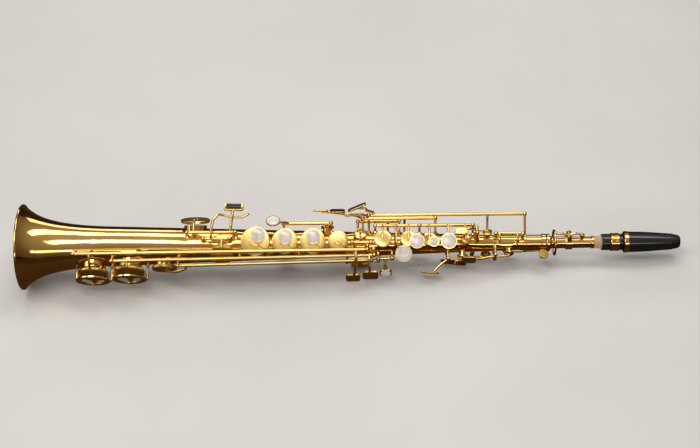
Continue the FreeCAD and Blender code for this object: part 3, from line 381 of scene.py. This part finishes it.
def add_piece(name, bm, material, body, crease=50):
    """A smooth piece that moves with a body; edges above crease degrees are sharp."""
    bmesh.ops.recalc_face_normals(bm, faces=bm.faces)
    obj = add_object(name, bm, material)
    for face in obj.data.polygons:
        face.use_smooth = True
    obj.data.set_sharp_from_angle(angle=math.radians(crease))
    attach(obj, body)


def add_points(bm, place, points):
    return [bm.verts.new(place @ Vector(point) * MM) for point in points]


def bridge(bm, first, second):
    """Faces between two rings, either of which may be a single point."""
    count = max(len(first), len(second))
    for i in range(count):
        j = (i + 1) % count
        if len(first) == 1:
            bm.faces.new((first[0], second[i], second[j]))
        elif len(second) == 1:
            bm.faces.new((first[i], first[j], second[0]))
        else:
            bm.faces.new((first[i], first[j], second[j], second[i]))


def revolve(bm, profile, place, segments, closed=False):
    """Turn (radius, z) points about local z; closed joins the last to the first."""
    rings = []
    for radius, z in profile:
        angles = [2 * math.pi * i / segments for i in range(segments)]
        points = [(radius * math.cos(a), radius * math.sin(a), z) for a in angles]
        rings.append(add_points(bm, place, points if radius else [(0, 0, z)]))
    following = rings[1:] + rings[:1] if closed else rings[1:]
    for first, second in zip(rings, following):
        bridge(bm, first, second)


# ------------------------------------------------------------------ touch pearls
# Empty pearl seats: key -> centre, normal, pearl radius
PEARL_SEATS = {
    "trill_key": (on_body(273, 31.4, -4), outward(2), 7.0),
    "a_key": (on_body(427, 20.5, 46), outward(44), 7.4),
    "bis_key": (on_body(445.2, 18.4, 47), outward(44), 4.9),
    "b_key": (on_body(461.4, 18.4, 46), outward(44), 7.8),
}


def touch_pearl(body, centre, normal, radius):
    """A round pearl with a low domed top."""
    bm = bmesh.new()
    profile = [(0, 1.06), (radius - 0.2, 1.06), (radius, 1.2), (radius, 2.0),
               (radius - 0.25, 2.28), (radius * 0.85, 2.52), (radius * 0.6, 2.78),
               (radius * 0.3, 2.94), (0, 3.0)]
    revolve(bm, profile, at_rest(body, frame_at(centre, normal)), segments=48)
    add_piece(body.replace("_key", "_touch_pearl"), bm, PEARL, body, crease=60)


for body, seat in PEARL_SEATS.items():
    touch_pearl(body, *seat)


# ------------------------------------------------------------------ G sharp touch
INLAY_HALF_X = 5.3
INLAY_HALF_Y = 6.0
INLAY_POWER = 0.62  # below 1 squares the ellipse into a rounded rectangle
INLAY_SEGMENTS = 56
# Share of the full outline, height
INLAY_RINGS = ((0.93, 0.86), (1.0, 1.0), (1.0, 1.3), (0.96, 1.48), (0.86, 1.60),
               (0.6, 1.72), (0.3, 1.77))
INLAY_BOTTOM = INLAY_RINGS[0][1]
INLAY_CROWN = 1.78

ARM_START = on_body(393.0, 25.2, 108)
ARM_END = on_body(393.4, 29.6, 116)
WASHER_SHARE = 0.62  # of the way along the arm
WASHER_PROFILE = [(1.2, -0.7), (2.5, -0.7), (2.7, -0.4), (2.7, 0.4), (2.5, 0.7), (1.2, 0.7)]


def squared(value):
    return math.copysign(abs(value) ** INLAY_POWER, value)


def gsharp_inlay():
    """A crowned rounded rectangle lying on the plate."""
    place = frame_at(on_body(393.6, 31.8, 127), outward(112))
    bm = bmesh.new()
    rings = []
    for share, z in INLAY_RINGS:
        angles = [2 * math.pi * i / INLAY_SEGMENTS for i in range(INLAY_SEGMENTS)]
        rings.append(add_points(bm, place, [
            (INLAY_HALF_X * share * squared(math.cos(a)),
             INLAY_HALF_Y * share * squared(math.sin(a)), z) for a in angles]))
    for first, second in zip(rings, rings[1:]):
        bridge(bm, first, second)
    for ring, z in ((rings[0], INLAY_BOTTOM), (rings[-1], INLAY_CROWN)):
        bridge(bm, ring, add_points(bm, place, [(0, 0, z)]))
    add_piece("gsharp_touch_pearl", bm, PEARL, "gsharp_lever", crease=60)


def gsharp_washer():
    """A green felt washer round the arm of the touch."""
    arm = ARM_END - ARM_START
    bm = bmesh.new()
    place = frame_at(ARM_START + arm * WASHER_SHARE, arm)
    revolve(bm, WASHER_PROFILE, place, segments=32, closed=True)
    add_piece("gsharp_felt", bm, FELT, "gsharp_lever")


gsharp_inlay()
gsharp_washer()


# ------------------------------------------------------------------ low C rollers
ROLLER_OFFSET = 1.75  # of each roller from the middle of the touch
ROLLER_HEIGHT = 1.75  # of the roller axes above the plate
ROLLER_PROFILE = [(0, -8.0), (0.9, -8.0), (1.25, -7.7), (1.35, -7.0),
                  (1.35, 7.0), (1.25, 7.7), (0.9, 8.0), (0, 8.0)]
BRACKET_OFFSET = 8.9
BRACKET_HEIGHT = 1.6
BRACKET_SIZE = (1.3, 6.2, 2.0)
BRACKET_BEVEL = 0.2 * MM


def low_c_plate():
    """Frame of the touch at rest: x along the rollers, z out of the plate."""
    normal = outward(-12).normalized()
    along = Vector((1, 0, 0.22))
    along = (along - normal * along.dot(normal)).normalized()
    axes = (along, normal.cross(along), normal)
    return at_rest("low_c_key", matrix_from(on_body(230.6, 41.0, -27), axes))


def low_c_rollers(plate):
    """Two black rollers, so that the finger slides on to E flat."""
    for number, offset in enumerate((-ROLLER_OFFSET, ROLLER_OFFSET), 1):
        bm = bmesh.new()
        place = (plate @ Matrix.Translation((0, offset, ROLLER_HEIGHT))
                 @ Matrix.Rotation(math.radians(90), 4, "Y"))
        revolve(bm, ROLLER_PROFILE, place, segments=32)
        add_piece("low_c_roller_%d" % number, bm, RESIN, "low_c_key")


def low_c_brackets(plate):
    """A bevelled block at each end of the rollers."""
    bm = bmesh.new()
    for offset in (-BRACKET_OFFSET, BRACKET_OFFSET):
        place = plate @ Matrix.Translation((offset, 0, BRACKET_HEIGHT))
        for vert in bmesh.ops.create_cube(bm, size=1.0)["verts"]:
            corner = Vector([part * size for part, size in zip(vert.co, BRACKET_SIZE)])
            vert.co = place @ corner * MM
    bmesh.ops.bevel(bm, geom=list(bm.edges), offset=BRACKET_BEVEL, segments=2, affect="EDGES")
    add_piece("low_c_roller_brackets", bm, KEYS, "low_c_key", crease=40)


plate = low_c_plate()
low_c_rollers(plate)
low_c_brackets(plate)


# ------------------------------------------------------------------ pad skirts
CUP_HEIGHT = 3.0  # of the skirt's frame above the tube
# Inset from the cup radius, height
SKIRT_PROFILE = ((0.75, 0.30), (0.45, 0.10), (0.22, 0.22), (0.10, 0.50),
                 (0.12, 0.78), (0.28, 0.88), (0.75, 0.86))
# Keys whose cups are solid in CAD: x, angle, cup radius
CUPS = {
    "low_csharp": (154.5, 124, 13.5), "eb": (218.0, 72, 12.2), "fsharp": (342.5, 35, 11.1),
    "gsharp": (366.5, 8, 7.2), "trill": (331.0, -46, 7.0), "g": (390.7, 35, 9.7),
    "a": (418.4, 35, 9.2), "bis": (440.8, 35, 7.7), "b": (461.0, 35, 6.7),
    "c": (480.0, 35, 5.7), "side_bb": (397.0, -108, 7.0), "side_c": (415.0, -108, 6.6),
    "high_e": (505.0, -62, 5.2), "palm_d": (477.0, 126, 5.8), "palm_eb": (503.0, 164, 5.4),
    "palm_f": (527.0, 112, 5.4), "front_f": (504.0, -6, 4.4),
}


def pad_skirt(key, x, angle, cup_radius):
    """A rounded leather skirt round the rim of a cup."""
    body = key + "_key"
    centre = on_body(x, tube_radius(x) + CUP_HEIGHT, angle)
    profile = [(cup_radius - inset, z) for inset, z in SKIRT_PROFILE]
    bm = bmesh.new()
    place = at_rest(body, frame_at(centre, outward(angle)))
    revolve(bm, profile, place, segments=56, closed=True)
    add_piece(key + "_pad_skirt", bm, LEATHER, body, crease=80)


for key, cup in CUPS.items():
    pad_skirt(key, *cup)


# ------------------------------------------------------------------ floor and cards
scene = bpy.context.scene
MID_X = 0.35
RIM_X = 0.006  # body points below this x belong to the bell rim
REST_X = 0.06  # pieces beyond this x may meet the floor
FLOOR_GAP = 0.0006
CARD_LIFT = 0.002  # of the lower card above the resting plane


def resting_plane():
    """Height at x = 0 and slope of the plane under the rim and the first point it meets."""
    low = min(v.co.z for v in NODES["body_tube"].data.vertices if v.co.x < RIM_X)
    slope = min((v.co.z - low) / v.co.x
                for obj in NODES.values() for v in obj.data.vertices if v.co.x > REST_X)
    return low, slope


def add_sheet(name, corners, material):
    bm = bmesh.new()
    bm.faces.new([bm.verts.new(corner) for corner in corners])
    return add_object(name, bm, material)


def add_floor(low, slope):
    corners = [(x, y, low - FLOOR_GAP + x * slope)
               for x, y in ((-4, -3), (5, -3), (5, 5), (-4, 5))]
    floor = add_sheet("floor", corners, pale_floor())
    floor.visible_glossy = False


def add_card(name, centre, size, normal, colour):
    """A dark card that only reflections see."""
    x, y, _ = axes_from(Vector(normal))
    corners = [Vector(centre) + x * (side_x * size[0] / 2) + y * (side_y * size[1] / 2)
               for side_x, side_y in ((-1, -1), (1, -1), (1, 1), (-1, 1))]
    card = add_sheet(name, corners, matt_card(name + "_mat", colour))
    card.visible_camera = False
    card.visible_diffuse = False
    card.visible_shadow = False
    card.visible_transmission = False


low, slope = resting_plane()
add_floor(low, slope)
add_card("dark_card_below", centre=(MID_X, -0.42, low + MID_X * slope + CARD_LIFT),
         size=(1.6, 0.62), normal=(0, 0, 1), colour=(0.035, 0.018, 0.008))
add_card("dark_card_back", centre=(MID_X, 0.55, 0.10),
         size=(2.0, 0.30), normal=(0, -1, 0.2), colour=(0.030, 0.018, 0.010))


# ------------------------------------------------------------------ lights
# Name, place, width, height, power in watts, colour; all face the middle of the instrument
SOFTBOXES = (
    ("key_box", (0.0, -0.55, 1.45), 1.3, 0.40, 8.0, (1.0, 0.97, 0.92)),
    ("top_box", (0.55, 0.45, 1.5), 1.6, 0.5, 9.5, (1.0, 0.98, 0.95)),
    ("side_box", (-1.1, -0.3, 0.75), 0.6, 0.9, 3.6, (1.0, 0.96, 0.9)),
    ("front_strip", (0.5, -1.35, 0.55), 1.5, 0.16, 3.0, (1.0, 0.97, 0.93)),
    ("back_box", (0.2, 1.45, 0.75), 1.4, 0.5, 4.0, (1.0, 0.98, 0.95)),
)


def softbox(name, place, width, height, power, colour):
    light = bpy.data.lights.new(name, "AREA")
    light.shape = "RECTANGLE"
    light.size = width
    light.size_y = height
    light.energy = power
    light.color = colour
    obj = bpy.data.objects.new(name, light)
    scene.collection.objects.link(obj)
    obj.location = place
    aim = Vector((MID_X, 0, 0)) - Vector(place)
    obj.rotation_euler = aim.to_track_quat("-Z", "Y").to_euler()


for box in SOFTBOXES:
    softbox(*box)


def studio_world():
    """Soft light from above; reflections see a darker, warmer room."""
    world = bpy.data.worlds.new("studio")
    scene.world = world
    g = Graph(world, "OutputWorld")
    direction = g.node("TexCoord").outputs["Generated"]
    up = g.node("SeparateXYZ", {0: direction}).outputs[2]
    sky = g.ramp(up, [(0.0, (0.10, 0.09, 0.08)), (0.35, (0.16, 0.14, 0.12)),
                      (1.0, (1.0, 0.99, 0.97))])
    # up runs from -1 to 1; the room's ramp needs 0 to 1
    room = g.ramp(g.vary(up, gain=0.5, base=0.5), [
        (0.0, (0.050, 0.026, 0.012)), (0.45, (0.060, 0.038, 0.022)),
        (0.62, (0.12, 0.09, 0.065)), (1.0, (0.42, 0.38, 0.32))])
    lit = g.node("Background", {"Color": sky, "Strength": 0.42}).outputs[0]
    reflected = g.node("Background", {"Color": room}).outputs[0]
    glossy = g.node("LightPath").outputs["Is Glossy Ray"]
    blend = g.node("MixShader", {0: glossy, 1: lit, 2: reflected})
    g.feed(g.output.inputs[0], blend.outputs[0])


studio_world()


# ------------------------------------------------------------------ camera
CAMERA_ELEVATION = math.radians(41)
CAMERA_DISTANCE = 1.575
CAMERA_ROLL = math.radians(-0.5)
AIM_X = 0.3555
AIM_RISE = 0.022  # up the picture from the tube's axis


def add_camera():
    data = bpy.data.cameras.new("camera")
    data.sensor_width = 36.0
    data.lens = 74.6
    data.clip_start = 0.05
    camera = bpy.data.objects.new("camera", data)
    scene.collection.objects.link(camera)
    sine, cosine = math.sin(CAMERA_ELEVATION), math.cos(CAMERA_ELEVATION)
    to_camera = Vector((0, -cosine, sine))
    target = Vector((AIM_X, 0, 0)) + Vector((0, sine, cosine)) * AIM_RISE
    facing = (-to_camera).to_track_quat("-Z", "Y").to_matrix().to_4x4()
    camera.matrix_world = (Matrix.Translation(target + to_camera * CAMERA_DISTANCE)
                           @ facing @ Matrix.Rotation(CAMERA_ROLL, 4, "Z"))
    scene.camera = camera


add_camera()
scene.view_settings.view_transform = "Standard"
scene.view_settings.look = "None"
scene.view_settings.exposure = 0.0
